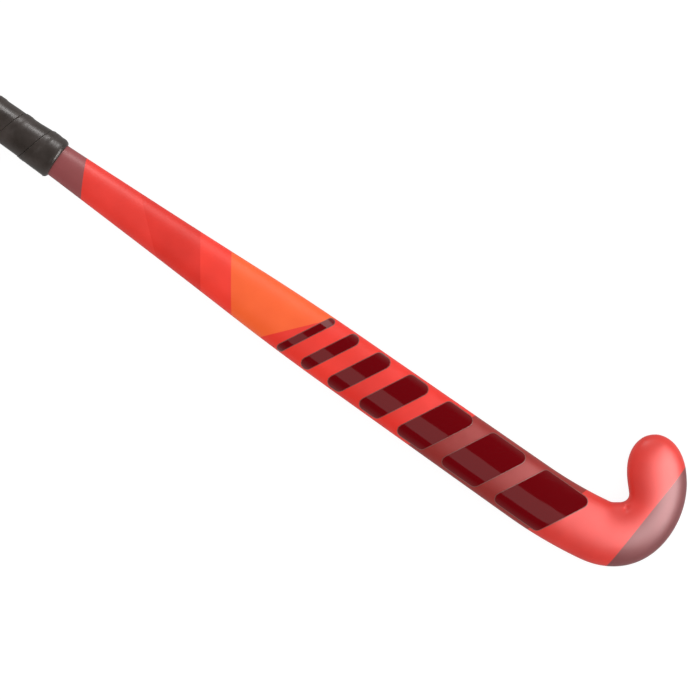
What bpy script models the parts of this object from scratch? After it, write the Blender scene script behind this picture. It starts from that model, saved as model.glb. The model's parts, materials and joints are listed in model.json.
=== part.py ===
"""Indoor hockey stick, lying on its flat playing face.

The stick is a moulded fibre skin over two inner tubes and a foam head core, with a plugged and
capped handle and a spiral-wound grip. +X runs down the stick to the head, +Y points the way the
toe points, and +Z is the rounded back. The origin is under the middle of the whole stick.

Every section is drawn on a flat centreline: straight down the shaft, then round the hook in three
arcs. A distance s counts along it from the butt end. In a section, u runs across to the toe side
and v up from the playing face. The bow lifts each point by a height that depends on its x alone.
"""

from functools import lru_cache
from math import ceil, cos, pi, radians, sin, sqrt

import bmesh
import bpy
from mathutils import Vector
from mathutils.kdtree import KDTree

# Overall size and bow, in metres
overall_length = 0.927
bow_height = 0.020
bow_from_head = 0.300
flat_head_length = 0.110

# Lengths along the stick from the butt end, and the width of the skin there
handle_width = 0.0248
taper_start = 0.350
neck_at = 0.507
neck_width = 0.0372
shoulder_at = 0.597
shoulder_width = 0.0462
heel_width = 0.0498
shaft_blend = 0.045

# The hook's centreline: three arcs and a straight toe
heel_radius = 0.349
heel_angle = radians(9.8)
hook_radius = 0.0336
hook_angle = radians(113.7)
toe_radius = 0.0785
toe_angle = radians(9.5)
toe_straight = 0.0317

# Widths round the hook, at distances from its start
bend_at = 0.0886
bend_width = 0.0501
throat_at = 0.1070
throat_width = 0.0412
toe_width = 0.0531
hook_blend = 0.014
toe_cap_length = 0.039
toe_cap_roundness = 2.04

# Thickness and shape of the sections
handle_thickness = 0.0220
shaft_thickness = 0.0200
head_thickness = 0.0205
head_swell_start = 0.760
head_swell_end = 0.815
handle_flat = 0.0020
edge_height = 0.0060
edge_run = 0.0042
back_roundness = 2.25
face_starts_at = 0.380
face_full_at = 0.560

# Walls, fits and inner pieces
seat_gap = 0.0003
skin_wall = 0.0028
tube_wall = 0.0010
core_start_before_hook = 0.006
spigot_length = 0.022
spigot_rib = 0.0006
plug_length = 0.070
damper_length = 0.034
damper_groove = 0.0020
weight_radius = 0.0050
weight_length = 0.030
weight_gap = 0.0003
weight_chamfer = 0.0008
cap_thickness = 0.0050
cap_edge = 0.0022
cap_proud = 0.0006

# Grip and what lies under it
grip_end = 0.377
underlay_thickness = 0.0007
underlay_setback = 0.0030
tape_thickness = 0.00035
tape_width = 0.018
tape_setback = 0.0010
wrap_thickness = 0.00125
wrap_pitch = 0.0244
wrap_last_lap = 0.0211
lap_step = 0.0004
lap_slant = 0.0020
lap_gap = 0.0009
wrap_edge_round = 0.0009
wrap_sliver = 0.0012

# Counts of facets
back_facets = 14
edge_facets = 4
face_facets = 4
sleeve_facets = 28
wrap_facets = 24
wrap_strips = 3
cap_rings = 8

straight_guess = overall_length - 0.110


def clear_scene():
    for obj in list(bpy.data.objects):
        bpy.data.objects.remove(obj, do_unlink=True)


def rounded(stations, s, blend):
    """Straight lines through the stations, averaged over the blend on each side of s."""
    samples = 12
    total = 0.0
    for k in range(samples):
        at = s + blend * ((k + 0.5) / samples * 2 - 1)
        total += between(stations, at)
    return total / samples


def between(stations, at):
    if at <= stations[0][0]:
        return stations[0][1]
    for (s0, w0), (s1, w1) in zip(stations, stations[1:]):
        if at <= s1:
            return w0 + (w1 - w0) * (at - s0) / (s1 - s0)
    return stations[-1][1]


def ease(s, start, end):
    t = min(max((s - start) / (end - start), 0.0), 1.0)
    return t * t * (3 - 2 * t)


def hook_path(distance):
    """Place and heading at a distance past the end of the straight shaft, from that end."""
    x, y, heading = 0.0, 0.0, 0.0
    arcs = ((heel_radius, heel_angle), (hook_radius, hook_angle), (toe_radius, toe_angle))
    for radius, angle in arcs:
        run = min(distance, radius * angle)
        if run <= 0:
            break
        turned = heading + run / radius
        x += radius * (sin(turned) - sin(heading))
        y += radius * (cos(heading) - cos(turned))
        heading = turned
        distance -= run
    if distance > 0:
        x += distance * cos(heading)
        y += distance * sin(heading)
    return x, y, heading


def hook_length():
    arcs = heel_radius * heel_angle + hook_radius * hook_angle + toe_radius * toe_angle
    return arcs + toe_straight


class Outline:
    """The stick seen from above: how long the straight part is, and how wide the skin is."""

    def __init__(self):
        self.straight = straight_guess
        for _ in range(3):
            self.end = self.straight + hook_length()
            self.straight += overall_length - self.reach()
        self.end = self.straight + hook_length()

    def stations(self):
        return (
            (taper_start, handle_width),
            (neck_at, neck_width),
            (shoulder_at, shoulder_width),
            (self.straight, heel_width),
            (self.straight + bend_at, bend_width),
            (self.straight + throat_at, throat_width),
            (self.end, toe_width),
        )

    def width(self, s):
        blend = shaft_blend if s < self.straight else hook_blend
        return rounded(self.stations(), s, blend)

    def place(self, s):
        """x from the butt end, y from the shaft's axis, and heading at s."""
        if s <= self.straight:
            return s, 0.0, 0.0
        x, y, heading = hook_path(s - self.straight)
        return self.straight + x, y, heading

    def reach(self):
        furthest = 0.0
        steps = 200
        for k in range(steps):
            s = self.straight + (self.end - self.straight - toe_cap_length) * k / steps
            x, _, heading = self.place(s)
            furthest = max(furthest, x + self.width(s) / 2 * sin(heading))
        return furthest


outline = Outline()
straight_end = outline.straight
tip = outline.end
cap_start = tip - toe_cap_length


@lru_cache(maxsize=None)
def section(s, inset):
    """Half width, lower and upper limit, edge height, edge run and roundness of the section at s,
    all drawn in by inset."""
    square = ease(s, face_starts_at, face_full_at)
    swell = ease(s, head_swell_start, head_swell_end)
    body = shaft_thickness + (head_thickness - shaft_thickness) * swell
    thickness = handle_thickness + (body - handle_thickness) * square
    low = (shaft_thickness - handle_thickness) / 2 * (1 - square)
    high = low + thickness
    half = outline.width(s) / 2
    middle = (low + high) / 2 + (edge_height - (low + high) / 2) * square
    run = (half - handle_flat / 2) * (1 - square) + edge_run * square
    roundness = 2 + (back_roundness - 2) * square
    half -= inset
    low += inset
    high -= inset
    run = max(run - inset, edge_run / 4)
    if s > cap_start:
        left = max(tip - inset - s, 0.0)
        length = toe_cap_length - inset
        half *= (1 - (1 - left / length) ** toe_cap_roundness) ** (1 / toe_cap_roundness)
        if left < run:
            low = middle - (middle - low) * sqrt(1 - (1 - left / run) ** 2)
        rise = min(left / (outline.width(cap_start) / 2 - inset), 1.0)
        high = middle + (high - middle) * (1 - (1 - rise) ** roundness) ** (1 / roundness)
        run = min(run, half * 0.8)
    return half, low, high, middle, run, roundness


def bow_lift(x):
    """Height of the playing face's datum at x from the butt end. The head part is straight, the
    grip part is straight, and between them the face arches over."""
    from_head = overall_length - x
    head_slope = bow_height / ((flat_head_length + bow_from_head) / 2 - edge_run)
    butt = cap_half_height() - shaft_thickness / 2
    handle_slope = (bow_height - butt) / ((overall_length + grip_end - bow_from_head) / 2)
    if from_head < flat_head_length:
        return head_slope * (from_head - edge_run)
    if from_head < bow_from_head:
        span = bow_from_head - flat_head_length
        return bow_height - head_slope * (bow_from_head - from_head) ** 2 / (2 * span)
    arch_end = overall_length - grip_end
    if from_head < arch_end:
        span = arch_end - bow_from_head
        return bow_height - handle_slope * (from_head - bow_from_head) ** 2 / (2 * span)
    return butt + handle_slope * x


def layers_over_tape():
    return seat_gap + underlay_thickness + seat_gap + tape_thickness + seat_gap


def cap_half_height():
    layers = layers_over_tape() + wrap_thickness + lap_step
    return handle_thickness / 2 + layers + cap_proud


def stick_point(s, u, v):
    x, y, heading = outline.place(s)
    px = x - u * sin(heading)
    py = y + u * cos(heading)
    return Vector((px, py, v + bow_lift(px)))


def section_loop(s, inset):
    """Points round the section, from the toe side over the back, and home across the face."""
    half, low, high, middle, run, roundness = section(s, inset)
    power = 2 / roundness
    points = []
    for k in range(back_facets + 1):
        angle = pi * k / back_facets
        side = 1 if cos(angle) > 0 else -1
        across = half * side * abs(cos(angle)) ** power
        points.append((across, middle + (high - middle) * sin(angle) ** power))
    for k in range(1, edge_facets + 1):
        angle = pi / 2 * k / edge_facets
        points.append((-half + run - run * cos(angle), middle - (middle - low) * sin(angle)))
    flat = half - run
    for k in range(1, face_facets):
        points.append((-flat + 2 * flat * k / face_facets, low))
    for k in range(edge_facets):
        angle = pi / 2 * (1 - k / edge_facets)
        points.append((half - run + run * cos(angle), middle - (middle - low) * sin(angle)))
    return points


def ring(s, inset=0.0):
    return [stick_point(s, u, v) for u, v in section_loop(s, inset)]


def half_ring(s, side, inset, web):
    """The toe-side or heel-side half of a section, closed by a straight web beside the middle."""
    half = section(s, inset)[0]
    loop = section_loop(s, inset)
    first = back_facets + edge_facets + face_facets // 2
    upper = loop[: back_facets // 2 + 1]
    lower = loop[first:]
    points = []
    for u, v in lower + upper:
        across = web + max(u, 0.0) * (half - web) / half
        points.append(stick_point(s, side * across, v))
    return points


def oval_ring(s, half_width, half_height, count):
    """An oval about the handle's middle, with its own half sizes."""
    _, low, high, _, _, _ = section(s, 0.0)
    centre = (low + high) / 2
    points = []
    for k in range(count):
        angle = 2 * pi * k / count
        points.append(stick_point(s, half_width * cos(angle), centre + half_height * sin(angle)))
    return points


def handle_ring(s, offset, count=sleeve_facets):
    half, low, high, _, _, _ = section(s, 0.0)
    return oval_ring(s, half + offset, (high - low) / 2 + offset, count)


def material(name, colour, roughness, metallic=0.0):
    found = bpy.data.materials.new(name)
    found.use_nodes = True
    shader = found.node_tree.nodes["Principled BSDF"]
    shader.inputs["Base Color"].default_value = (*colour, 1.0)
    shader.inputs["Roughness"].default_value = roughness
    shader.inputs["Metallic"].default_value = metallic
    found.diffuse_color = (*colour, 1.0)
    return found


def add_object(name, mesh, surface, collection):
    obj = bpy.data.objects.new(name, mesh)
    collection.objects.link(obj)
    if surface:
        mesh.materials.append(surface)
    return obj


def loft(name, rings, surface, collection, around=False):
    """Joins rings of equal count. A ring of one point is a pole, other end rings get a flat face,
    and around=True joins the last ring to the first."""
    build = bmesh.new()
    rows = [[build.verts.new(origin_shift(point)) for point in points] for points in rings]
    pairs = list(zip(rows, rows[1:]))
    if around:
        pairs.append((rows[-1], rows[0]))
    for one, two in pairs:
        count = max(len(one), len(two))
        for k in range(count):
            after = (k + 1) % count
            corners = [one[k % len(one)], one[after % len(one)]]
            corners += [two[after % len(two)], two[k % len(two)]]
            build.faces.new(list(dict.fromkeys(corners)))
    if not around:
        for row in (rows[0], rows[-1]):
            if len(row) > 1:
                build.faces.new(row)
    bmesh.ops.recalc_face_normals(build, faces=build.faces)
    mesh = bpy.data.meshes.new(name)
    build.to_mesh(mesh)
    build.free()
    mesh.shade_smooth()
    mesh.set_sharp_from_angle(angle=radians(35))
    return add_object(name, mesh, surface, collection)


def tube(name, rings, wall, surface, collection):
    """An open lofted sleeve, given its wall outwards by Solidify."""
    build = bmesh.new()
    rows = [[build.verts.new(origin_shift(point)) for point in points] for points in rings]
    for one, two in zip(rows, rows[1:]):
        count = len(one)
        for k in range(count):
            after = (k + 1) % count
            build.faces.new((one[k], one[after], two[after], two[k]))
    mesh = bpy.data.meshes.new(name)
    build.to_mesh(mesh)
    build.free()
    obj = add_object(name, mesh, surface, collection)
    solid = obj.modifiers.new("Wall", "SOLIDIFY")
    solid.thickness = wall
    solid.offset = 1.0
    solid.use_even_offset = True
    return obj


def steps(start, end, largest):
    count = max(1, ceil((end - start) / largest - 1e-6))
    return [start + (end - start) * k / count for k in range(count)]


def shaft_stations(start, spacing=1.0):
    """Places of the rings down the straight shaft, closer where it tapers and bows."""
    found = []
    marks = [(start, 0.09), (taper_start - shaft_blend, 0.02 * spacing)]
    marks += [(shoulder_at + shaft_blend, 0.034 * spacing), (straight_end, 0.0)]
    for (here, gap), (after, _) in zip(marks, marks[1:]):
        if after > start:
            found += steps(max(here, start), after, gap)
    return found


def hook_stations(spacing=1.0):
    found = []
    at = straight_end
    runs = (
        (heel_radius * heel_angle, 0.0075),
        (hook_radius * hook_angle, 0.0042),
        (toe_radius * toe_angle + toe_straight - toe_cap_length, 0.0045),
    )
    for run, gap in runs:
        if run > 0:
            found += steps(at, at + run, gap * spacing)
        at += run
    return found


def cap_stations(inset, count):
    """Rings over the rounded toe, closer together towards its end."""
    length = toe_cap_length - inset
    return [cap_start + length * sin(pi / 2 * k / count) for k in range(count)]


def toe_pole(inset):
    s = tip - inset
    middle = section(s, inset)[3]
    return [stick_point(s, 0.0, middle)]


def make_shell(collection, surface):
    start = cap_thickness + seat_gap
    places = shaft_stations(start) + hook_stations() + cap_stations(0.0, cap_rings)
    outside = [ring(s) for s in places] + [toe_pole(0.0)]
    hollow = shaft_stations(start, 1.6) + hook_stations(1.5) + cap_stations(skin_wall, cap_rings - 2)
    inside = [ring(s, skin_wall) for s in hollow] + [toe_pole(skin_wall)]
    loft("composite_shell", outside[::-1] + inside, surface, collection)


def make_head_core(collection, surface):
    inset = skin_wall + seat_gap
    start = straight_end - core_start_before_hook
    places = [start] + hook_stations(1.5) + cap_stations(inset, cap_rings - 2)
    rings = [ring(s, inset) for s in places] + [toe_pole(inset)]
    loft("head_core", rings, surface, collection)


def damper_start():
    return plug_start() + plug_length + seat_gap


def plug_start():
    return cap_thickness + spigot_length + seat_gap


def make_inner_tube(name, side, collection, surface):
    start = damper_start() + damper_length + seat_gap
    end = straight_end - core_start_before_hook - seat_gap
    places = [s for s in shaft_stations(start, 1.6) if s < end - 0.004] + [end]
    inset = skin_wall + seat_gap
    web = seat_gap / 2
    outer = [half_ring(s, side, inset, web) for s in places]
    inner = [half_ring(s, side, inset + tube_wall, web + tube_wall) for s in places]
    loft(name, outer + inner[::-1], surface, collection, around=True)


def make_damper(collection, surface):
    """A rubber plug with three seating ribs and two grooves between them."""
    inset = skin_wall + seat_gap
    ribs = 3
    grooves = ribs - 1
    start = damper_start()
    band = damper_length / (ribs + grooves)
    slope = band / 4
    rings = []
    for k in range(ribs):
        low = start + 2 * k * band
        rings.append(ring(low + (slope if k else 0.0), inset))
        rings.append(ring(low + band - (slope if k < grooves else 0.0), inset))
        if k < grooves:
            rings.append(ring(low + band + slope, inset + damper_groove))
            rings.append(ring(low + 2 * band - slope, inset + damper_groove))
    loft("damper_plug", rings, surface, collection)


def make_weight_and_plug(collection, cutters, foam, metal):
    """The handle's foam plug, bored from the butt side for the balance weight."""
    inset = skin_wall + seat_gap
    start = plug_start()
    plug = loft("handle_plug", [ring(start, inset), ring(start + plug_length, inset)], foam, collection)
    _, low, high, _, _, _ = section(start, 0.0)
    axis_height = (low + high) / 2
    bore_depth = weight_length + 2 * weight_gap
    overshoot = 0.002

    mouth = origin_shift(stick_point(start - overshoot, 0.0, axis_height))
    bottom = origin_shift(stick_point(start + bore_depth, 0.0, axis_height))
    bore = add_cylinder("weight_bore", mouth, bottom, weight_radius + weight_gap, 32)
    move_to(bore, cutters)
    bore.hide_render = True
    bore.display_type = "WIRE"
    cut = plug.modifiers.new("Bore", "BOOLEAN")
    cut.operation = "DIFFERENCE"
    cut.object = bore

    near = origin_shift(stick_point(start + weight_gap, 0.0, axis_height))
    far = origin_shift(stick_point(start + weight_gap + weight_length, 0.0, axis_height))
    weight = add_cylinder("balance_weight", near, far, weight_radius, 24)
    weight.data.materials.append(metal)
    move_to(weight, collection)
    chamfer = weight.modifiers.new("Chamfer", "BEVEL")
    chamfer.width = weight_chamfer
    chamfer.segments = 1
    chamfer.limit_method = "ANGLE"
    chamfer.angle_limit = radians(60)


def add_cylinder(name, start, end, radius, sides):
    along = end - start
    middle = (start + end) / 2
    bpy.ops.mesh.primitive_cylinder_add(
        vertices=sides, radius=radius, depth=along.length, location=middle
    )
    obj = bpy.context.active_object
    obj.name = name
    obj.rotation_mode = "QUATERNION"
    obj.rotation_quaternion = along.to_track_quat("Z", "Y")
    return obj


def move_to(obj, collection):
    for owner in list(obj.users_collection):
        owner.objects.unlink(obj)
    collection.objects.link(obj)


def make_butt_cap(collection, surface):
    """A rounded rim over the end of the handle, and a ribbed spigot inside it."""
    rim = cap_half_height() - handle_thickness / 2
    edge_turns = 4
    places = []
    for k in range(edge_turns + 1):
        angle = pi / 2 * k / edge_turns
        places.append((cap_edge * (1 - cos(angle)), rim - cap_edge * (1 - sin(angle))))
    rings = [handle_ring(s, offset) for s, offset in places]
    rings.append(handle_ring(cap_thickness, rim))
    seat = -skin_wall - seat_gap
    rings.append(handle_ring(cap_thickness, seat - spigot_rib))
    ribs = 3
    spacing = (spigot_length - 0.002) / ribs
    for k in range(ribs):
        low = cap_thickness + 0.002 + k * spacing
        rings.append(handle_ring(low, seat - spigot_rib))
        rings.append(handle_ring(low + spacing * 0.25, seat))
        rings.append(handle_ring(low + spacing * 0.45, seat))
        rings.append(handle_ring(low + spacing * 0.95, seat - spigot_rib))
    loft("butt_cap", rings, surface, collection)


def wrap_start():
    return cap_thickness + seat_gap


def make_underlay(collection, surface):
    start = wrap_start()
    end = grip_end - underlay_setback
    places = shaft_stations(start)
    places = [s for s in places if s < end - 0.004] + [end]
    rings = [handle_ring(s, seat_gap) for s in places]
    tube("grip_underlay", rings, underlay_thickness, surface, collection)


def tape_edges():
    """Start and end of the upper and the lower edge tape."""
    upper = (wrap_start(), wrap_start() + tape_width)
    lower = (grip_end - tape_setback - tape_width, grip_end - tape_setback)
    return upper, lower


def make_edge_tapes(collection, surface):
    upper, lower = tape_edges()
    on_underlay = seat_gap + underlay_thickness + seat_gap
    rings = [handle_ring(s, on_underlay) for s in upper]
    tube("upper_edge_tape", rings, tape_thickness, surface, collection)

    underlay_end = grip_end - underlay_setback + seat_gap
    profile = [
        (lower[0], on_underlay),
        (underlay_end, on_underlay),
        (underlay_end + 0.0002, seat_gap),
        (lower[1], seat_gap),
        (lower[1], on_underlay + tape_thickness - 0.0004),
        (lower[1] - 0.0006, on_underlay + tape_thickness),
        (lower[0], on_underlay + tape_thickness),
    ]
    rings = [handle_ring(s, offset) for s, offset in profile]
    loft("lower_edge_tape", rings, surface, collection, around=True)


def wrap_seat(s):
    """Height of the wrap's underside above the skin: it rises over each edge tape."""
    upper, lower = tape_edges()
    plain = seat_gap + underlay_thickness + seat_gap
    raised = layers_over_tape()
    ramp = wrap_pitch / wrap_strips * 1.1
    share = max(1 - (s - upper[1]) / ramp, 1 + (s - lower[0]) / ramp)
    return plain + (raised - plain) * min(max(share, 0.0), 1.0)


def wrap_section(s, angle, offset):
    half, low, high, _, _, _ = section(s, 0.0)
    centre = (low + high) / 2
    across = (half + offset) * cos(angle)
    up = centre + ((high - low) / 2 + offset) * sin(angle)
    return stick_point(s, across, up)


def wrap_turn(turn):
    """One cut through the wound strip, as two rows of (s, height above its seat), left to right.
    The left edge laps over the strip's last turn, and the right edge goes under its next one."""
    start = wrap_start()
    left = grip_end - wrap_last_lap + wrap_pitch * turn
    right = left + wrap_pitch - lap_gap
    over_left = max(left, start)
    over_right = min(right, grip_end)
    under_left = max(left + lap_slant, start)
    under_right = min(right + lap_slant, grip_end)
    if over_right - over_left < wrap_sliver or under_right - under_left < wrap_sliver:
        return None
    over = []
    under = []
    ends_here = over_right > grip_end - wrap_edge_round
    for k in range(wrap_strips + 1):
        share = k / wrap_strips
        s = over_left + (over_right - over_left) * share
        height = wrap_thickness + lap_step * (1 - share)
        if ends_here and k == wrap_strips:
            height -= wrap_edge_round / 2
        over.append((s, height))
        under.append((under_left + (under_right - under_left) * share, 0.0))
    return under, over


def make_wrap(collection, surface):
    """The grip: one strip wound down the handle, each turn lapped over the last. Seen from the
    back it climbs from the heel side to the toe side on its way to the head."""
    turns_up = ceil((grip_end - wrap_last_lap) / wrap_pitch) + 1
    rings = []
    joints = []
    first_top = pi / 2
    for step in range(-turns_up * wrap_facets, 2 * wrap_facets):
        turn = step / wrap_facets
        cut = wrap_turn(turn)
        if cut is None:
            continue
        angle = first_top - 2 * pi * turn
        under, over = cut
        points = [wrap_section(s, angle, wrap_seat(s) + height) for s, height in under]
        points += [wrap_section(s, angle, wrap_seat(s) + height) for s, height in reversed(over)]
        rings.append(points)
        joints.append((step, points[0], points[-1], points[wrap_strips], points[wrap_strips + 1]))
    loft("grip_wrap", rings, surface, collection)
    print_least_gap(joints)


def print_least_gap(joints):
    """Measures the strip's left edge against the right edge of the turn before it."""
    samples = 9
    tree = KDTree(len(joints) * samples)
    index = 0
    for _, _, _, low, high in joints:
        for k in range(samples):
            tree.insert(low.lerp(high, k / (samples - 1)), index)
            index += 1
    tree.balance()
    least = 1.0
    for step, low, high, _, _ in joints:
        if step - joints[0][0] < wrap_facets:
            continue
        for k in range(samples):
            least = min(least, tree.find(low.lerp(high, k / (samples - 1)))[2])
    turns = len(joints) / wrap_facets
    print(f"grip_wrap: {turns:.1f} turns, least gap to itself {least * 1000:.2f} mm")


def whole_outline():
    """Lowest and highest x and y over the skin and the butt end."""
    places = shaft_stations(cap_thickness) + hook_stations() + cap_stations(0.0, cap_rings)
    points = [point for s in places for point in ring(s)]
    return (
        min(0.0, min(p.x for p in points)),
        max(p.x for p in points),
        min(p.y for p in points),
        max(p.y for p in points),
    )


near_x, far_x, low_y, high_y = whole_outline()
origin = Vector(((near_x + far_x) / 2, (low_y + high_y) / 2, 0.0))


def origin_shift(point):
    return point - origin


def print_mounts():
    """The two flat faces, for the record: the playing face at the hook, and the butt end."""
    middle = straight_end + heel_radius * heel_angle + hook_radius * hook_angle / 2
    face = origin_shift(stick_point(middle, 0.0, 0.0))
    x, _, _ = outline.place(middle)
    slope = (bow_lift(x + 0.001) - bow_lift(x - 0.001)) / 0.002
    normal = Vector((slope, 0.0, -1.0)).normalized()
    butt = origin_shift(stick_point(0.0, 0.0, shaft_thickness / 2))
    print("playing face", [round(c, 6) for c in face], [round(c, 6) for c in normal])
    print("butt face", [round(c, 6) for c in butt])
    print("straight end", round(straight_end, 5), "tip", round(tip, 5), "origin", origin)


def main():
    clear_scene()
    stick = bpy.data.collections.new("indoor_hockey_stick")
    cutters = bpy.data.collections.new("cutters")
    bpy.context.scene.collection.children.link(stick)
    bpy.context.scene.collection.children.link(cutters)

    paint = material("satin_paint", (0.62, 0.05, 0.04), 0.42)
    fibre = material("fibre_tube", (0.03, 0.03, 0.032), 0.5)
    foam = material("core_foam", (0.72, 0.62, 0.42), 0.9)
    black_rubber = material("black_rubber", (0.02, 0.02, 0.02), 0.6)
    steel = material("steel", (0.56, 0.57, 0.58), 0.35, 1.0)
    grip_skin = material("grip_skin", (0.022, 0.020, 0.020), 0.48)
    padding = material("grip_padding", (0.16, 0.16, 0.17), 0.85)
    tape = material("edge_tape", (0.03, 0.03, 0.03), 0.4)

    make_shell(stick, paint)
    make_head_core(stick, foam)
    make_inner_tube("inner_tube_toe_side", 1, stick, fibre)
    make_inner_tube("inner_tube_heel_side", -1, stick, fibre)
    make_damper(stick, black_rubber)
    make_weight_and_plug(stick, cutters, foam, steel)
    make_butt_cap(stick, black_rubber)
    make_underlay(stick, padding)
    make_edge_tapes(stick, tape)
    make_wrap(stick, grip_skin)
    print_mounts()


main()
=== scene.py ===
# Indoor hockey stick lying on its playing face, seen square on from its rounded back.
# The stick runs along X to the head, the toe points along +Y, and everything is in metres.
import json
from math import ceil, cos, exp, pi, radians, sin, tan

import bpy
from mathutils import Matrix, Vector, noise

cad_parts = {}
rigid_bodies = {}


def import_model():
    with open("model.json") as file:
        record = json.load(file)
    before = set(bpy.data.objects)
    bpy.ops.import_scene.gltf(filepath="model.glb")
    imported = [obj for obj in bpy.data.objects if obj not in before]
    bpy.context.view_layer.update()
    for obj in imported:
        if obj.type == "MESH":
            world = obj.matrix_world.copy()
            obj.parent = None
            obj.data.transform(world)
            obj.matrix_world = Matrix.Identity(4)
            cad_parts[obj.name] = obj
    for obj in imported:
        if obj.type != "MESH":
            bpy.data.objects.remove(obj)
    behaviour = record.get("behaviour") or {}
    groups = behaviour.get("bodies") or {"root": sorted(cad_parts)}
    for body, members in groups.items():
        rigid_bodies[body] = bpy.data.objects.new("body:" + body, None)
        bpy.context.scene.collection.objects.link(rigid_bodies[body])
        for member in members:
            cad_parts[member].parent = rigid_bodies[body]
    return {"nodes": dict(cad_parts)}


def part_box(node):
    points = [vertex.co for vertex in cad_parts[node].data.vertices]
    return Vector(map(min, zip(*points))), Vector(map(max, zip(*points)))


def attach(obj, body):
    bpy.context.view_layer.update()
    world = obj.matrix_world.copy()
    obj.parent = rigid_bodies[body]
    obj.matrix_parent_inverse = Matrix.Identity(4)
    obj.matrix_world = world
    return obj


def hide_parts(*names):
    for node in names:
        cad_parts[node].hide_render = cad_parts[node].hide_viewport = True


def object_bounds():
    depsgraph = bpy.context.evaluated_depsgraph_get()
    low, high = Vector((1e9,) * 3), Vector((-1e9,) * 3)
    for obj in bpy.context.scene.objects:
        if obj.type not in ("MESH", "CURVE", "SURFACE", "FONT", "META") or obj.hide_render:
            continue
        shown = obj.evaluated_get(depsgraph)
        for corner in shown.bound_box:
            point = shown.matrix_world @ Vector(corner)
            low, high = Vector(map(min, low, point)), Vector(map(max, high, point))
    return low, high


for old in list(bpy.data.objects):
    bpy.data.objects.remove(old, do_unlink=True)

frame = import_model()
cadLow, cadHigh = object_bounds()
print("frame loaded:", len(frame["nodes"]), "parts")

mm = 0.001
capLow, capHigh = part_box("butt_cap")
axisY = (capLow.y + capHigh.y) / 2  # the straight shaft's middle line
headEnd = cadHigh.x                 # colour lines and bars are placed back from here
seamWeld = 0.01 * mm                # joins the loose triangles of a CAD mesh


# Small helpers for working as in edit mode

def makeActive(obj):
    for other in bpy.context.scene.objects:
        other.select_set(False)
    obj.select_set(True)
    bpy.context.view_layer.objects.active = obj


def editAll(obj):
    makeActive(obj)
    bpy.ops.object.mode_set(mode="EDIT")
    bpy.ops.mesh.select_mode(type="FACE")
    bpy.ops.mesh.select_all(action="SELECT")


def objectMode():
    bpy.ops.object.mode_set(mode="OBJECT")


def selectFaces(obj, wanted):
    # Ends in edit mode, with only the wanted faces selected
    editAll(obj)
    bpy.ops.mesh.select_all(action="DESELECT")
    objectMode()
    for face in obj.data.polygons:
        face.select = bool(wanted(face))
    bpy.ops.object.mode_set(mode="EDIT")


def addObject(name, data):
    data.name = name
    obj = bpy.data.objects.new(name, data)
    bpy.context.scene.collection.objects.link(obj)
    return obj


def copyNode(nodeName, pieceName):
    # A CAD node's mesh is loose triangles, so the copy is welded and turned back into quads
    obj = addObject(pieceName, frame["nodes"][nodeName].data.copy())
    editAll(obj)
    bpy.ops.mesh.remove_doubles(threshold=seamWeld)
    bpy.ops.mesh.tris_convert_to_quads(face_threshold=pi, shape_threshold=pi)
    objectMode()
    return obj


def applyModifier(obj, kind, **values):
    modifier = obj.modifiers.new(kind.title(), kind)
    for name, value in values.items():
        setattr(modifier, name, value)
    makeActive(obj)
    bpy.ops.object.modifier_apply(modifier=modifier.name)


def smooth(obj, angle):
    makeActive(obj)
    bpy.ops.object.shade_smooth_by_angle(angle=radians(angle))


def setMaterials(obj, *materials):
    obj.data.materials.clear()
    for material in materials:
        obj.data.materials.append(material)


def cutAlong(point, direction, clearRight=False):
    # A straight vertical cut through the whole piece, along a direction seen from above
    bpy.ops.mesh.select_all(action="SELECT")
    bpy.ops.mesh.bisect(
        plane_co=(point[0], point[1], 0),
        plane_no=(direction[1], -direction[0], 0),
        clear_outer=clearRight,
    )


# Helpers for materials

noiseSpan = (0.3, 0.7)  # nearly all of a noise lies in here
wholeSpan = (0, 1)


def srgb(red, green, blue):
    # 0 to 255, as a paint chart gives them
    def linear(value):
        value /= 255
        return value / 12.92 if value <= 0.04045 else ((value + 0.055) / 1.055) ** 2.4
    return linear(red), linear(green), linear(blue), 1.0


def newMaterial(name, colour, roughness, **sockets):
    material = bpy.data.materials.new(name)
    material.use_nodes = True
    tree = material.node_tree
    shader = tree.nodes["Principled BSDF"]
    shader.inputs["Base Color"].default_value = colour
    shader.inputs["Roughness"].default_value = roughness
    for socket, value in sockets.items():
        shader.inputs[socket.replace("_", " ")].default_value = value
    return material, tree, shader


def addNode(tree, kind, **settings):
    node = tree.nodes.new(kind)
    for name, value in settings.items():
        if name in node.inputs:
            node.inputs[name].default_value = value
        else:
            setattr(node, name, value)
    return node


def objectPoint(tree, stretch=(1, 1, 1)):
    # The place on the piece, squeezed by a stretch along each axis
    coords = addNode(tree, "ShaderNodeTexCoord")
    mapping = addNode(tree, "ShaderNodeMapping", Scale=stretch)
    tree.links.new(coords.outputs["Object"], mapping.inputs["Vector"])
    return mapping.outputs["Vector"]


def noiseAt(tree, point, scale, detail):
    node = addNode(tree, "ShaderNodeTexNoise", Scale=scale, Detail=detail)
    tree.links.new(point, node.inputs["Vector"])
    return node.outputs["Fac"]


def remap(tree, value, source, target):
    node = addNode(tree, "ShaderNodeMapRange")
    for index, limit in enumerate((*source, *target), start=1):
        node.inputs[index].default_value = limit
    tree.links.new(value, node.inputs[0])
    return node.outputs[0]


def blendColour(tree, shader, share, first, second):
    # Sockets 6 and 7 of a Mix node are its two colours, and output 2 is the colour that comes out
    node = addNode(tree, "ShaderNodeMix", data_type="RGBA")
    tree.links.new(share, node.inputs["Factor"])
    node.inputs[6].default_value = first
    node.inputs[7].default_value = second
    tree.links.new(node.outputs[2], shader.inputs["Base Color"])


def bump(tree, shader, height, strength, distance):
    node = addNode(tree, "ShaderNodeBump", Strength=strength, Distance=distance)
    tree.links.new(height, node.inputs["Height"])
    tree.links.new(node.outputs["Normal"], shader.inputs["Normal"])


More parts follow.
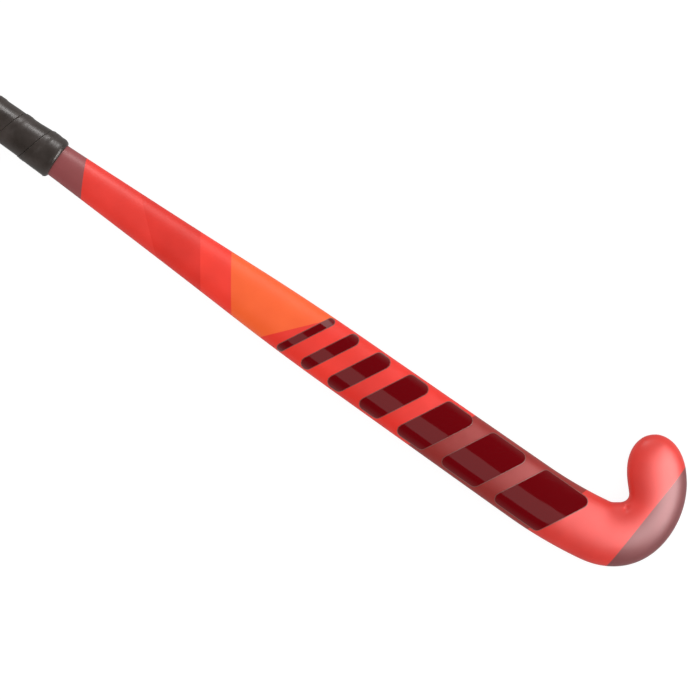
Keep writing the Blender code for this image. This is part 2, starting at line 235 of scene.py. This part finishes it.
# Skin: the moulded and painted fibre shell, shaft and hook in one piece

# "lines" are where the colour blocks change, from the handle to the head. "at" is how far up from the head's
# end a line crosses the middle of the shaft, in mm, and "slant" its angle to the shaft, seen from the back.
skin = {
    "colours": {
        "maroon": srgb(147, 69, 70),
        "red": srgb(232, 46, 32),
        "deepRed": srgb(225, 36, 18),
        "brightRed": srgb(244, 48, 28),
        "orange": srgb(255, 94, 28),
        "warmRed": srgb(238, 42, 24),
        "dullRed": srgb(232, 36, 20),
        "rust": srgb(150, 32, 25),
        "coral": srgb(218, 48, 38),
        "plum": srgb(122, 62, 63),
    },
    "lines": [
        {"at": 525.6, "slant": -62.8, "after": "red"},
        {"at": 465.4, "slant": -41.2, "after": "deepRed"},
        {"at": 416.3, "slant": -55.0, "after": "brightRed"},
        {"at": 387.6, "slant": -55.0, "after": "orange"},
        {"at": 326.8, "slant": 49.0, "after": "warmRed"},
        {"at": 273.9, "slant": 68.0, "after": "dullRed"},
        {"at": 191.2, "slant": 58.6, "after": "rust"},
        {"at": 84.0, "slant": 68.6, "after": "coral"},
        {"at": 26.4, "slant": -93.5, "after": "plum"},
    ],
    "first": "maroon",
    "toeFrom": 35,                 # mm from the middle line: on the toe past it, only the last line counts
    "smoothing": 2,
    "dentAt": (0.4228, -0.0028),   # a small moulding dent by the inner corner, in metres
    "dentSize": (1.8 * mm, 2.8 * mm),
    "dentTurn": -10,               # degrees
    "dentDepth": 1.8 * mm,
    "dentAbove": 9.6 * mm,         # leaves the playing face alone
    "paler": (1.07, 0.004),        # the mottle's pale side: times and plus
    "deeper": 0.94,                # and its deep side
    "sheen": (0.38, 0.44),         # roughness
}


def smoothShell(pieceName):
    obj = copyNode("composite_shell", pieceName)
    applyModifier(obj, "SUBSURF", levels=skin["smoothing"], render_levels=skin["smoothing"])
    return obj


def makeSkin():
    obj = smoothShell("painted_skin")
    turn = radians(skin["dentTurn"])
    along, across = Vector((cos(turn), sin(turn))), Vector((-sin(turn), cos(turn)))
    length, width = skin["dentSize"]
    for vertex in obj.data.vertices:
        away = vertex.co.xy - Vector(skin["dentAt"])
        fade = exp(-(away.dot(along) / length) ** 2 - (away.dot(across) / width) ** 2)
        if vertex.co.z > skin["dentAbove"]:
            vertex.co.z -= skin["dentDepth"] * fade
    return obj


def satinPaint(name, colour):
    # Sprayed satin lacquer: a slight mottle in colour and sheen, and a faint orange peel
    material, tree, shader = newMaterial(name, colour, roughness=0.41, Specular_IOR_Level=0.36)
    point = objectPoint(tree)
    mottle = noiseAt(tree, point, scale=38, detail=3)
    times, plus = skin["paler"]
    paler = [min(1, channel * times + plus) for channel in colour[:3]] + [1]
    deeper = [channel * skin["deeper"] for channel in colour[:3]] + [1]
    blendColour(tree, shader, remap(tree, mottle, noiseSpan, wholeSpan), deeper, paler)
    rub = noiseAt(tree, point, scale=22, detail=2)
    tree.links.new(remap(tree, rub, noiseSpan, skin["sheen"]), shader.inputs["Roughness"])
    peel = noiseAt(tree, point, scale=420, detail=1)
    bump(tree, shader, peel, strength=0.05, distance=0.15 * mm)
    return material


def lineOnStick(line):
    # A point on a colour line and its direction, from the heel side to the toe side
    slant = radians(line["slant"] if line["slant"] > 0 else line["slant"] + 180)
    point = Vector((headEnd - line["at"] * mm, axisY))
    return point, Vector((cos(slant), sin(slant)))


def paintSkin(obj):
    names = list(skin["colours"])
    setMaterials(obj, *[satinPaint(name + "_paint", skin["colours"][name]) for name in names])
    lines = [(*lineOnStick(line), names.index(line["after"])) for line in skin["lines"]]
    editAll(obj)
    for point, direction, _ in lines:
        cutAlong(point, direction)
    objectMode()
    toeFrom = axisY + skin["toeFrom"] * mm
    lastSlot = len(names) - 1
    for face in obj.data.polygons:
        face.material_index = names.index(skin["first"])
        onToe = face.center.y > toeFrom
        for point, direction, slot in lines:
            beyond = (face.center.xy - point).cross(direction) > 0
            if beyond or (onToe and slot < lastSlot):
                face.material_index = slot


finePiece = makeSkin()
paintSkin(finePiece)
smooth(finePiece, angle=50)
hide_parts("composite_shell")
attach(finePiece, "root")
print("skin:", len(finePiece.data.polygons), "faces")


# Grip: one soft strip wound down the handle, each turn lapped over the last on its way to the head

grip = {
    "pitch": 24.4 * mm,
    "lastLap": 21.1 * mm,      # from the strip's last lap, on the back, to the end of the grip
    "gap": 0.12 * mm,          # the dark line along each lap
    "thickness": 1.25 * mm,
    "seat": 0.3 * mm,          # over the underlay sleeve
    "tapeRise": 0.45 * mm,     # and more where an edge tape lies under it
    "tapeWidth": 18 * mm,
    "tapeRamp": 9 * mm,
    "lapRise": 0.42 * mm,      # the ridge over the hidden edge of the turn below
    "lapFlat": 4.2 * mm,
    "lapFall": 7.5 * mm,
    "edgeRound": 0.5 * mm,
    "edgeShare": 0.45,         # of a narrow cut, the most that one rounded edge takes
    "lapWall": 0.4,            # the height of the edge's first point, as a share of the strip's, at the lap
    "farWall": 0.1,            # and at the hidden edge
    "endRoll": 4.6 * mm,       # the end of the grip rolls over and comes down on the skin
    "endDrop": 1.8 * mm,
    "endWall": 0.9 * mm,
    "leastWidth": 2.2 * mm,
    "stepsPerTurn": 96,
    "acrossTop": 28,
    "aroundEdge": 9,
    "weld": 0.001 * mm,
    "ringStep": 0.5 * mm,      # points of the sleeve closer than this are one ring
    "crease": 0.40 * mm,       # fine creases by each lap, leaning off it
    "creaseReach": 5 * mm,
    "creaseLean": (0.94, 0.34),
    "creaseWidth": 1.3 * mm,
    "creaseLength": 11 * mm,
    "sag": 0.14 * mm,          # a slow unevenness all over
    "sagWidth": 10 * mm,
    "sagLength": 15 * mm,
    "sagSlice": 4.0,
    "sheen": (0.26, 0.38),     # roughness
}


def ease(value, start, end):
    share = min(max((value - start) / (end - start), 0.0), 1.0)
    return share * share * (3 - 2 * share)


def sleeveStations(nodeName):
    # Middle height, half width and half height of the sleeve's outer side, ring by ring
    rings = {}
    for vertex in frame["nodes"][nodeName].data.vertices:
        rings.setdefault(round(vertex.co.x / grip["ringStep"]), []).append(vertex.co)
    stations = []
    for key in sorted(rings):
        ring = rings[key]
        top, bottom = max(c.z for c in ring), min(c.z for c in ring)
        left, right = min(c.y for c in ring), max(c.y for c in ring)
        stations.append((ring[0].x, (top + bottom) / 2, (right - left) / 2, (top - bottom) / 2))
    return stations


def betweenStations(stations, x):
    pairs = list(zip(stations, stations[1:]))
    one, two = next(((a, b) for a, b in pairs if x <= b[0]), pairs[-1])
    share = (x - one[0]) / (two[0] - one[0])
    return [a + (b - a) * share for a, b in zip(one[1:], two[1:])]


def unevenness(x, arc, fromLap):
    leanX, leanArc = grip["creaseLean"]
    across, along = x * leanX - arc * leanArc, arc * leanX + x * leanArc
    crease = noise.noise(Vector((across / grip["creaseWidth"], along / grip["creaseLength"], 0)))
    slow = noise.noise(Vector((x / grip["sagWidth"], arc / grip["sagLength"], grip["sagSlice"])))
    near = exp(-max(fromLap, 0.0) / grip["creaseReach"])
    return grip["crease"] * near * crease + grip["sag"] * slow


def gripCuts(start, end):
    # Each cut through the strip: its turn, and where its lapped and its hidden edge lie along the handle
    cuts = []
    turnsUp = ceil((end - grip["lastLap"] - start) / grip["pitch"]) + 1
    for step in range(-turnsUp * grip["stepsPerTurn"], 2 * grip["stepsPerTurn"]):
        turn = step / grip["stepsPerTurn"]
        lap = end - grip["lastLap"] + grip["pitch"] * turn
        covered = lap + grip["pitch"] < end - grip["leastWidth"]
        low, high = max(lap, start), lap + grip["pitch"] - grip["gap"] if covered else end
        if high - low >= grip["leastWidth"]:
            cuts.append((turn, lap, low, high))
    return cuts


def gripProfile(lap, low, high, end, arcAt):
    # The strip's closed section as (place along the handle, height over its seat)
    def top(x):
        ridge = 1 - ease(x - lap, grip["lapFlat"], grip["lapFall"])
        height = grip["thickness"] + grip["lapRise"] * ridge + unevenness(x, arcAt, x - lap)
        rolled = min(max(1 - (end - x) / grip["endRoll"], 0.0), 1.0)
        return (height + grip["endDrop"]) * (1 - rolled * rolled) ** 0.5 - grip["endDrop"]

    room = (high - low) * grip["edgeShare"]
    atEnd = high == end
    lapRound = min(grip["edgeRound"], room)
    farRun = min(grip["endRoll"] if atEnd else grip["edgeRound"], room)
    turns = [pi / 2 * k / grip["aroundEdge"] for k in range(grip["aroundEdge"])]
    points = [(low, 0.0), (low, top(low) * grip["lapWall"])]
    points += [(low + lapRound * (1 - cos(a)), top(low) - lapRound * (1 - sin(a))) for a in turns]
    span = high - farRun - low - lapRound
    for k in range(grip["acrossTop"]):
        x = low + lapRound + span * k / (grip["acrossTop"] - 1)
        points.append((x, top(x)))
    for a in reversed(turns):
        x = high - farRun * (1 - cos(a))
        points.append((x, top(x) if atEnd else top(high - farRun) - farRun * (1 - sin(a))))
    if atEnd:
        points += [(high - grip["endWall"], -grip["endDrop"]), (high - grip["endWall"], 0.0)]
    else:
        points += [(high, top(high) * grip["farWall"]), (high, 0.0)]
    return points


def gripSections(cuts, start, end):
    # Every section in its place round the padded handle, higher where an edge tape lies under the strip
    sleeve = sleeveStations("grip_underlay")
    sections = []
    for turn, lap, low, high in cuts:
        angle = pi / 2 - 2 * pi * turn
        arc = angle * betweenStations(sleeve, lap)[1]
        section = []
        for x, height in gripProfile(lap, low, high, end, arc):
            centreZ, halfWidth, halfHeight = betweenStations(sleeve, x)
            overTape = max(1 - (x - start - grip["tapeWidth"]) / grip["tapeRamp"],
                           1 - (end - grip["tapeWidth"] - x) / grip["tapeRamp"])
            height += grip["seat"] + grip["tapeRise"] * min(max(overTape, 0.0), 1.0)
            section.append((x, axisY + (halfWidth + height) * cos(angle),
                            centreZ + (halfHeight + height) * sin(angle)))
        sections.append(section)
    return sections


def makeGrip():
    # A flat grid wound into the strip: each row is a cut, and the last column closes on the first
    low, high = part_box("grip_wrap")
    sections = gripSections(gripCuts(low.x, high.x), low.x, high.x)
    columns, rows = len(sections[0]), len(sections) - 1
    bpy.ops.mesh.primitive_grid_add(x_subdivisions=columns, y_subdivisions=rows, size=2)
    obj = bpy.context.active_object
    obj.name = obj.data.name = "wound_grip"
    for vertex in obj.data.vertices:
        column = round((vertex.co.x + 1) / 2 * columns) % columns
        row = round((vertex.co.y + 1) / 2 * rows)
        vertex.co = sections[row][column]
    editAll(obj)
    bpy.ops.mesh.remove_doubles(threshold=grip["weld"])
    bpy.ops.mesh.select_all(action="SELECT")
    bpy.ops.mesh.fill_holes(sides=0)
    bpy.ops.mesh.select_all(action="SELECT")
    bpy.ops.mesh.normals_make_consistent(inside=False)
    objectMode()
    return obj


def gripLeather():
    material, tree, shader = newMaterial(
        "soft_grip", srgb(56, 49, 46), roughness=0.34, Specular_IOR_Level=0.33)
    point = objectPoint(tree)
    cloud = noiseAt(tree, point, scale=60, detail=3)
    blendColour(tree, shader, remap(tree, cloud, noiseSpan, wholeSpan), srgb(51, 44, 40), srgb(68, 59, 55))
    grain = addNode(tree, "ShaderNodeTexVoronoi", feature="SMOOTH_F1", Scale=1500.0, Smoothness=0.6)
    tree.links.new(point, grain.inputs["Vector"])
    tree.links.new(remap(tree, cloud, noiseSpan, grip["sheen"]), shader.inputs["Roughness"])
    bump(tree, shader, grain.outputs["Distance"], strength=0.12, distance=0.12 * mm)
    return material


gripPiece = makeGrip()
setMaterials(gripPiece, gripLeather())
smooth(gripPiece, angle=60)
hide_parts("grip_wrap")
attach(gripPiece, "root")
print("grip:", len(gripPiece.data.polygons), "faces")


# Gloss bars: a row of slanted film bars that widen towards the head, each on a narrow margin of thinner film
# The margin film is real, but its grey-brown colour is a painted pale highlight along each bar's edge.

# Lengths without a unit are in mm. "offset" is where Solidify puts the film: 1 is all outside the skin.
bars = {
    "firstAt": 321,            # up from the head's end, on the middle line
    "widths": [6, 10, 15, 21, 27, 35, 44],
    "gap": 14.5,
    "slant": 62,               # degrees
    "reach": 21.5,             # to each side of the middle line
    "corner": 4.5,
    "cornerShare": 0.48,       # of a narrow bar, the most that one corner takes
    "cornerCuts": 4,
    "films": [
        # the margin film's grey-brown colour is a painted edge highlight
        {"kind": "highlight_margin", "grow": 0.55, "thickness": 0.09 * mm, "offset": 0.5},
        {"kind": "ink", "grow": 0, "thickness": 0.18 * mm, "offset": 0.75},
    ],
    "weld": 0.04 * mm,
    "lastAt": 72,              # the sheet that they are cut from ends before the shaft's edge turns in
    "spareLength": 40,         # and starts this much before the first bar
    "spareSide": 1.5,
    "leastUp": 0.08,           # how far a face of the sheet has to look up
}


def barOutline(left, width, grow):
    # The rounded corners of a bar, seen from above, as points in order round it, in world metres
    slant = radians(bars["slant"])
    along, across = Vector((1, 0)), Vector((cos(slant), sin(slant)))
    lean = (bars["reach"] + grow) / sin(slant)
    span = width + 2 * grow / sin(slant)
    middle = Vector((headEnd, axisY)) + along * (-left + width / 2) * mm
    corners = [middle + (along * span / 2 * i + across * lean * j) * mm
               for i, j in ((-1, -1), (1, -1), (1, 1), (-1, 1))]
    radius = min(bars["corner"] + grow, span * sin(slant) * bars["cornerShare"]) * mm
    points = []
    for k, corner in enumerate(corners):
        before, after = corners[k - 1], corners[(k + 1) % 4]
        toBefore, toAfter = (before - corner).normalized(), (after - corner).normalized()
        half = toBefore.angle(toAfter) / 2
        centre = corner + (toBefore + toAfter).normalized() * radius / sin(half)
        first = (corner + toBefore * radius / tan(half) - centre).normalized()
        last = (corner + toAfter * radius / tan(half) - centre).normalized()
        for n in range(bars["cornerCuts"] + 1):
            points.append(centre + radius * first.slerp(last, n / bars["cornerCuts"]))
    return points


def cutFilm(sheet, pieceName, outline, film):
    # Trims a copy of the sheet to the outline and gives it the film's thickness
    obj = addObject(pieceName, sheet.data.copy())
    editAll(obj)
    for point, after in zip(outline, outline[1:] + outline[:1]):
        cutAlong(point, (after - point).normalized(), clearRight=True)
    bpy.ops.mesh.select_all(action="SELECT")
    bpy.ops.mesh.remove_doubles(threshold=bars["weld"])
    objectMode()
    applyModifier(obj, "SOLIDIFY", thickness=film["thickness"], offset=film["offset"])
    smooth(obj, angle=50)
    return obj


def filmInk():
    # Dark red gloss film: a mirror-like coat with faint stretch lines along the stick
    material, tree, shader = newMaterial("gloss_film", srgb(106, 3, 10), roughness=0.06)
    drawn = noiseAt(tree, objectPoint(tree, stretch=(0.05, 1, 1)), scale=420, detail=2)
    bump(tree, shader, drawn, strength=0.2, distance=0.1 * mm)
    return material


def paintedHighlightMargin():
    # Thinner film round each bar: its grey-brown colour, with a random tone, is a painted pale highlight
    # along the bar's edge
    material, tree, shader = newMaterial("film_margin_painted_highlight", srgb(122, 66, 60), roughness=0.3)
    tone = noiseAt(tree, objectPoint(tree), scale=300, detail=2)
    blendColour(tree, shader, tone, srgb(112, 58, 54), srgb(136, 78, 70))
    return material


def makeFilmSheet():
    # The rounded back alone, as the sheet that the bars are cut from
    obj = smoothShell("film_sheet")
    editAll(obj)
    reach = (bars["reach"] + bars["spareSide"]) * mm
    first = headEnd - (bars["firstAt"] + bars["spareLength"]) * mm
    last = headEnd - bars["lastAt"] * mm
    slant = radians(bars["slant"])
    for point, direction in (((0, axisY - reach), (1, 0)), ((0, axisY + reach), (-1, 0)),
                             ((first, 0), (0, -1)), ((last, axisY), (cos(slant), sin(slant)))):
        cutAlong(point, direction, clearRight=True)
    selectFaces(obj, lambda face: face.normal.z < bars["leastUp"])
    bpy.ops.mesh.delete(type="FACE")
    objectMode()
    top = max(obj.data.polygons, key=lambda face: face.center.z).index
    selectFaces(obj, lambda face: face.index == top)
    bpy.ops.mesh.select_linked()
    bpy.ops.mesh.select_all(action="INVERT")
    bpy.ops.mesh.delete(type="FACE")
    objectMode()
    return obj


def makeBars():
    sheet = makeFilmSheet()
    finishes = {"ink": filmInk(), "highlight_margin": paintedHighlightMargin()}
    left = bars["firstAt"]
    for number, width in enumerate(bars["widths"], start=1):
        for film in bars["films"]:
            kind = film["kind"]
            outline = barOutline(left, width, film["grow"])
            piece = cutFilm(sheet, f"film_bar_{number}_{kind}", outline, film)
            setMaterials(piece, finishes[kind])
            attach(piece, "root")
        left -= width + bars["gap"]
    bpy.data.objects.remove(sheet, do_unlink=True)
    print("bars:", len(bars["widths"]), "of gloss film")


makeBars()


# Butt cap: the rubber rim over the end of the handle, with its spigot inside the skin

cap = {
    "rim": 3.2 * mm,           # flat rim round the end face, then a groove and a low raised disc
    "grooveSide": 0.45 * mm,
    "grooveDepth": 0.6 * mm,
    "discRise": 0.48 * mm,
    "edgeRound": 0.5 * mm,
    "endReach": 0.2 * mm,      # the end face is all that lies this close to the end
    "endFacing": -0.9,         # and looks at least this far along -X
    "dustSpan": (0.35, 0.7),   # of the noise, from no dust to most
}


def rubber():
    material, tree, shader = newMaterial("black_rubber", srgb(30, 30, 31), roughness=0.6)
    point = objectPoint(tree)
    dust = remap(tree, noiseAt(tree, point, scale=140, detail=3), cap["dustSpan"], wholeSpan)
    blendColour(tree, shader, dust, srgb(26, 26, 27), srgb(42, 41, 41))
    bump(tree, shader, noiseAt(tree, point, scale=1800, detail=2), strength=0.2, distance=0.1 * mm)
    return material


def makeCap():
    obj = copyNode("butt_cap", "rubber_cap")
    endFrom = min(face.center.x for face in obj.data.polygons) + cap["endReach"]
    selectFaces(obj, lambda face: face.center.x < endFrom and face.normal.x < cap["endFacing"])
    bpy.ops.mesh.dissolve_faces()
    side = cap["grooveSide"]
    for width, shift in ((cap["rim"], 0), (side, cap["grooveDepth"]), (side, 0), (side, -cap["discRise"])):
        bpy.ops.mesh.inset(thickness=width, depth=0)
        bpy.ops.transform.translate(value=(shift, 0, 0))
    objectMode()
    applyModifier(obj, "BEVEL", width=cap["edgeRound"], segments=2,
                  limit_method="ANGLE", angle_limit=radians(50))
    applyModifier(obj, "SUBSURF", levels=2, render_levels=2)
    smooth(obj, angle=50)
    return obj


blackRubber = rubber()
capPiece = makeCap()
setMaterials(capPiece, blackRubber)
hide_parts("butt_cap")
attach(capPiece, "root")
print("cap:", len(capPiece.data.polygons), "faces")


# What lies inside keeps its CAD shape and gets its own finish

def fibreTube():
    material, tree, shader = newMaterial("fibre_tube", srgb(40, 40, 43), roughness=0.42)
    ply = addNode(tree, "ShaderNodeTexWave", bands_direction="DIAGONAL", Scale=260.0, Distortion=1.0)
    tree.links.new(objectPoint(tree), ply.inputs["Vector"])
    blendColour(tree, shader, ply.outputs["Fac"], srgb(26, 26, 28), srgb(58, 58, 62))
    bump(tree, shader, ply.outputs["Fac"], strength=0.15, distance=0.1 * mm)
    return material


def foam():
    material, tree, shader = newMaterial("core_foam", srgb(222, 202, 160), roughness=0.9)
    cells = addNode(tree, "ShaderNodeTexVoronoi", Scale=900.0)
    tree.links.new(objectPoint(tree), cells.inputs["Vector"])
    blendColour(tree, shader, cells.outputs["Distance"], srgb(204, 182, 138), srgb(230, 212, 172))
    bump(tree, shader, cells.outputs["Distance"], strength=0.4, distance=0.3 * mm)
    return material


def turnedSteel():
    material, tree, shader = newMaterial("turned_steel", srgb(190, 192, 195), roughness=0.32, Metallic=1.0)
    rings = noiseAt(tree, objectPoint(tree, stretch=(1, 0.05, 0.05)), scale=2400, detail=1)
    sheen = remap(tree, rings, noiseSpan, target=(0.24, 0.4))
    tree.links.new(sheen, shader.inputs["Roughness"])
    bump(tree, shader, rings, strength=0.1, distance=0.05 * mm)
    return material


def padding():
    material, tree, shader = newMaterial("grip_padding", srgb(110, 110, 114), roughness=0.85)
    cells = noiseAt(tree, objectPoint(tree), scale=1200, detail=2)
    blendColour(tree, shader, cells, srgb(92, 92, 96), srgb(126, 126, 130))
    bump(tree, shader, cells, strength=0.3, distance=0.2 * mm)
    return material


def tapeVinyl():
    material, tree, shader = newMaterial("edge_tape", srgb(36, 36, 37), roughness=0.38)
    pulled = noiseAt(tree, objectPoint(tree, stretch=(1, 0.2, 0.2)), scale=700, detail=2)
    blendColour(tree, shader, pulled, srgb(30, 30, 31), srgb(46, 46, 48))
    bump(tree, shader, pulled, strength=0.15, distance=0.08 * mm)
    return material


innerFinishes = (
    (foam(), ("head_core", "handle_plug")),
    (fibreTube(), ("inner_tube_heel_side", "inner_tube_toe_side")),
    (blackRubber, ("damper_plug",)),
    (turnedSteel(), ("balance_weight",)),
    (padding(), ("grip_underlay",)),
    (tapeVinyl(), ("upper_edge_tape", "lower_edge_tape")),
)
for finish, nodeNames in innerFinishes:
    for nodeName in nodeNames:
        setMaterials(frame["nodes"][nodeName], finish)
print("inner parts finished")


# Floor, light and camera

studio = {
    "floorSize": 8.0,
    "floorDrop": 0.4 * mm,
    "floorColour": (0.85, 0.85, 0.85, 1),
    "glow": 1.12,              # of the floor, as the camera sees it, and then as gloss on the stick does
    "glossGlow": 0.45,
    "glowShare": 0.8,          # the rest of the floor takes the light and the shadows
    "cameraHeight": 3.0,
    "lens": 200,
    "clipEnd": 20,
    "aim": (0.1797, -0.0254),
    "turn": 35.14,             # degrees
    "fill": (0.68, 1.32),      # from the heel side to the toe side
    "fillSpan": (-1, 1),
    "walls": (0.40, 0.03),     # in the gloss, from the walls to the ceiling
    "wallSpan": (0.05, 0.6),   # how far up the walls start to darken, and where the ceiling starts
}

# "size" is width and height, and a lamp that is glossOnly is seen only in reflections
lamps = {
    "head_softbox": {
        "centre": (1.05, 0.40, 0.55), "target": (1.05, 0.40, 0),
        "size": (0.93, 1.02), "radiance": 16.0, "glossOnly": True,
    },
    "toe_side_softbox": {
        "centre": (1.9, 0.7, 0.55), "target": (0.45, 0, 0.1),
        "size": (1.7, 1.0), "radiance": 0.8, "glossOnly": False,
    },
    "grip_softbox": {
        "centre": (-0.33, 0.50, 0.31), "target": (-0.25, 0, 0),
        "size": (0.34, 0.17), "radiance": 15.0, "glossOnly": True,
    },
    "handle_softbox": {
        "centre": (0.00, 0.50, 0.31), "target": (0.05, 0, 0),
        "size": (0.30, 0.45), "radiance": 2.0, "glossOnly": True,
    },
    "heel_side_softbox": {
        "centre": (0.45, -0.57, 1.5), "target": (0.45, -0.57, 0),
        "size": (0.9, 1.0), "radiance": 0.55, "glossOnly": True,
    },
}


def anyRay(tree, *kinds):
    # 1 on rays of the given kinds, 0 on all others
    rays = addNode(tree, "ShaderNodeLightPath")
    value = rays.outputs[kinds[0]]
    for kind in kinds[1:]:
        either = addNode(tree, "ShaderNodeMath", operation="MAXIMUM")
        tree.links.new(value, either.inputs[0])
        tree.links.new(rays.outputs[kind], either.inputs[1])
        value = either.outputs[0]
    return value


def mixShaders(tree, share, first, second):
    node = addNode(tree, "ShaderNodeMixShader")
    for socket, source in zip(node.inputs, (share, first.outputs[0], second.outputs[0])):
        tree.links.new(source, socket)
    return node


def makeFloor():
    bpy.ops.mesh.primitive_plane_add(size=studio["floorSize"], location=(0, 0, -studio["floorDrop"]))
    obj = bpy.context.active_object
    obj.name = "studio_floor"
    material, tree, shader = newMaterial(
        "white_floor", studio["floorColour"], roughness=0.9, Specular_IOR_Level=0.0)
    glow = addNode(tree, "ShaderNodeEmission")
    strength = remap(tree, anyRay(tree, "Is Glossy Ray"), wholeSpan, (studio["glow"], studio["glossGlow"]))
    tree.links.new(strength, glow.inputs["Strength"])
    seen = anyRay(tree, "Is Camera Ray", "Is Glossy Ray", "Is Transmission Ray")
    both = mixShaders(tree, remap(tree, seen, wholeSpan, (0, studio["glowShare"])), shader, glow)
    tree.links.new(both.outputs[0], tree.nodes["Material Output"].inputs["Surface"])
    setMaterials(obj, material)


def makeWorld():
    # An even fill light, stronger from the toe side. The gloss sees pale walls and a dim ceiling instead.
    world = bpy.data.worlds.new("studio_walls")
    bpy.context.scene.world = world
    world.use_nodes = True
    tree = world.node_tree
    fill = tree.nodes["Background"]
    fill.inputs["Color"].default_value = (1, 1, 1, 1)
    coords = addNode(tree, "ShaderNodeTexCoord")
    split = addNode(tree, "ShaderNodeSeparateXYZ")
    tree.links.new(coords.outputs["Generated"], split.inputs[0])
    sideways = remap(tree, split.outputs["Y"], studio["fillSpan"], studio["fill"])
    tree.links.new(sideways, fill.inputs["Strength"])
    walls = addNode(tree, "ShaderNodeBackground")
    upwards = remap(tree, split.outputs["Z"], studio["wallSpan"], studio["walls"])
    tree.links.new(upwards, walls.inputs["Strength"])
    white = addNode(tree, "ShaderNodeBackground", Strength=1.0)
    shiny = mixShaders(tree, anyRay(tree, "Is Glossy Ray"), fill, walls)
    both = mixShaders(tree, anyRay(tree, "Is Camera Ray", "Is Transmission Ray"), shiny, white)
    tree.links.new(both.outputs[0], tree.nodes["World Output"].inputs["Surface"])


def makeLamp(name, centre, target, size, radiance, glossOnly):
    width, height = size
    lamp = bpy.data.lights.new(name, "AREA")
    lamp.shape = "RECTANGLE"
    lamp.size = width
    lamp.size_y = height
    lamp.energy = radiance * pi * width * height
    obj = addObject(name, lamp)
    obj.location = centre
    obj.rotation_euler = (Vector(target) - Vector(centre)).to_track_quat("-Z", "Y").to_euler()
    obj.visible_camera = False
    obj.visible_diffuse = not glossOnly


def makeCamera():
    obj = addObject("overhead_camera", bpy.data.cameras.new("overhead_camera"))
    obj.data.lens = studio["lens"]
    obj.data.clip_end = studio["clipEnd"]
    obj.location = (*studio["aim"], studio["cameraHeight"])
    obj.rotation_euler = (0, 0, radians(studio["turn"]))
    bpy.context.scene.camera = obj


makeFloor()
makeWorld()
for lampName, lampValues in lamps.items():
    makeLamp(lampName, **lampValues)
makeCamera()
bpy.context.scene.view_settings.view_transform = "Standard"
print("studio:", len(lamps), "lamps")
